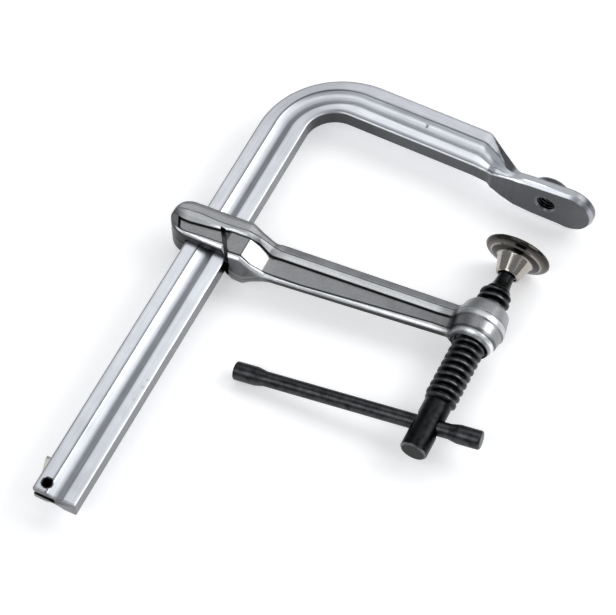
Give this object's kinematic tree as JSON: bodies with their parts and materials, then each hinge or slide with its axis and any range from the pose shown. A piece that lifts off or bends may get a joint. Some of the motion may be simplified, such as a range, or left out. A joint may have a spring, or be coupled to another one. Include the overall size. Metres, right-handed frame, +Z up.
{
  "type": "sliding arm bar clamp",
  "caption": "L-shaped grooved steel bar with a fixed threaded jaw, a forged arm that slides on it, and a screw with a swivel pad and a sliding handle rod.",
  "frame": {"origin": "centre of the threaded hole in the fixed jaw's face, on the screw's axis", "axes": "+Y along the screw from the pad to the jaw, +X out along the arms away from the bar's long leg, +Z up from the bar's broad face"},
  "size_m": [0.1841, 0.2704, 0.0328],
  "materials": {
    "bar_steel": "bright zinc, satin",
    "arm_steel": "bright zinc over a forged skin, satin",
    "black_steel": "black oxide, semi-gloss",
    "pad_nickel": "bright nickel plate",
    "latch_steel": "plain tempered steel",
    "pin_steel": "plain steel"
  },
  "bodies": {
    "bar": {"rail": "bar_steel", "latch_pin": "pin_steel", "latch_spring": "pin_steel"},
    "arm": {"sliding_arm": "arm_steel"},
    "screw_carrier": {"pad_snap_ring": "pin_steel"},
    "screw": {"spindle": "black_steel"},
    "handle": {"tommy_bar": "black_steel"},
    "pad": {"swivel_pad": "pad_nickel"},
    "latch": {"stop_latch": "latch_steel"}
  },
  "joints": [
    {"name": "arm_slide", "type": "slide", "parent": "bar", "child": "arm", "axis": [0, 1, 0], "range_m": [-0.127, 0.0145]},
    {"name": "screw_travel", "type": "slide", "parent": "arm", "child": "screw_carrier", "axis": [0, 1, 0], "range_m": [-0.0201, 0.0141]},
    {"name": "spindle_turn", "type": "hinge", "parent": "screw_carrier", "child": "screw", "pos_m": [0, -0.04, 0], "axis": [0, 1, 0], "range_deg": [-1800, 1260]},
    {"name": "handle_slide", "type": "slide", "parent": "screw", "child": "handle", "axis": [0.9903, 0.0924, 0.1041], "range_m": [-0.003, 0.072]},
    {"name": "pad_tilt", "type": "hinge", "parent": "screw_carrier", "child": "pad", "pos_m": [0, -0.04, 0], "axis": [1, 0, 0], "range_deg": [-17, 1]},
    {"name": "latch_press", "type": "hinge", "parent": "bar", "child": "latch", "pos_m": [-0.1401, -0.241, 0], "axis": [0, 0, -1], "range_deg": [0, 12.5], "stiffness_Nm_per_rad": 0.06, "springref_deg": -11.46, "deforming": ["latch_spring"]}
  ],
  "couplings": [
    {"joint": "screw_travel", "follows": "spindle_turn", "m_per_rad": 0.00063662}
  ]
}
